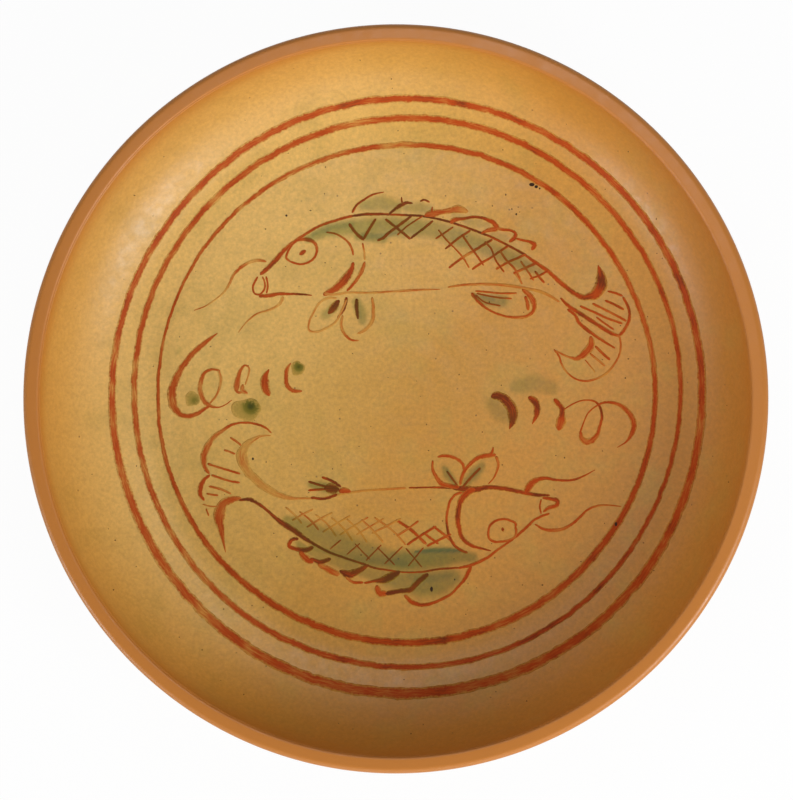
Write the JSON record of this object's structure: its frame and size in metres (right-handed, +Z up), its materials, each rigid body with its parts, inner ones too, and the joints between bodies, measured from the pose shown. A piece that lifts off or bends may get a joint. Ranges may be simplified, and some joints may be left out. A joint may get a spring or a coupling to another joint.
{
  "type": "painted stoneware dish",
  "caption": "Round footed serving dish with a broad flat floor, rounded wall and thick lip, ochre glazed and painted in red enamel bands, fish and water weed.",
  "frame": {"origin": "on the dish's axis, at the level of the foot ring's resting face", "axes": "+Z up along the turning axis; +X to the right and +Y to the top of the painting as it is looked at from above"},
  "size_m": [0.2998, 0.2998, 0.052],
  "materials": {
    "clay": "bare fired stoneware with fine turning marks",
    "ochre_glaze": "satin ochre glaze with iron specks",
    "browned_glaze": "satin glaze burnt thin and brown on the lip",
    "iron_red": "brushed iron-red overglaze enamel",
    "copper_green": "thin olive-green overglaze enamel"
  },
  "bodies": {
    "root": {"thrown_body": "clay", "foot_ring": "clay", "inner_glaze": "ochre_glaze", "lip_glaze": "browned_glaze", "outer_glaze": "ochre_glaze", "red_band_inner": "iron_red", "red_band_middle": "iron_red", "red_band_outer": "iron_red", "upper_fish": "iron_red", "upper_fish_pupil": "iron_red", "lower_fish": "iron_red", "lower_fish_pupil": "iron_red", "left_weed_curl": "iron_red", "left_weed_leaf_1": "iron_red", "left_weed_leaf_2": "iron_red", "left_weed_leaf_3": "iron_red", "right_weed_leaf_1": "iron_red", "right_weed_leaf_2": "iron_red", "right_weed_curl": "iron_red", "green_dot_left": "copper_green", "green_dot_middle": "copper_green", "green_dot_right": "copper_green"}
  },
  "joints": []
}
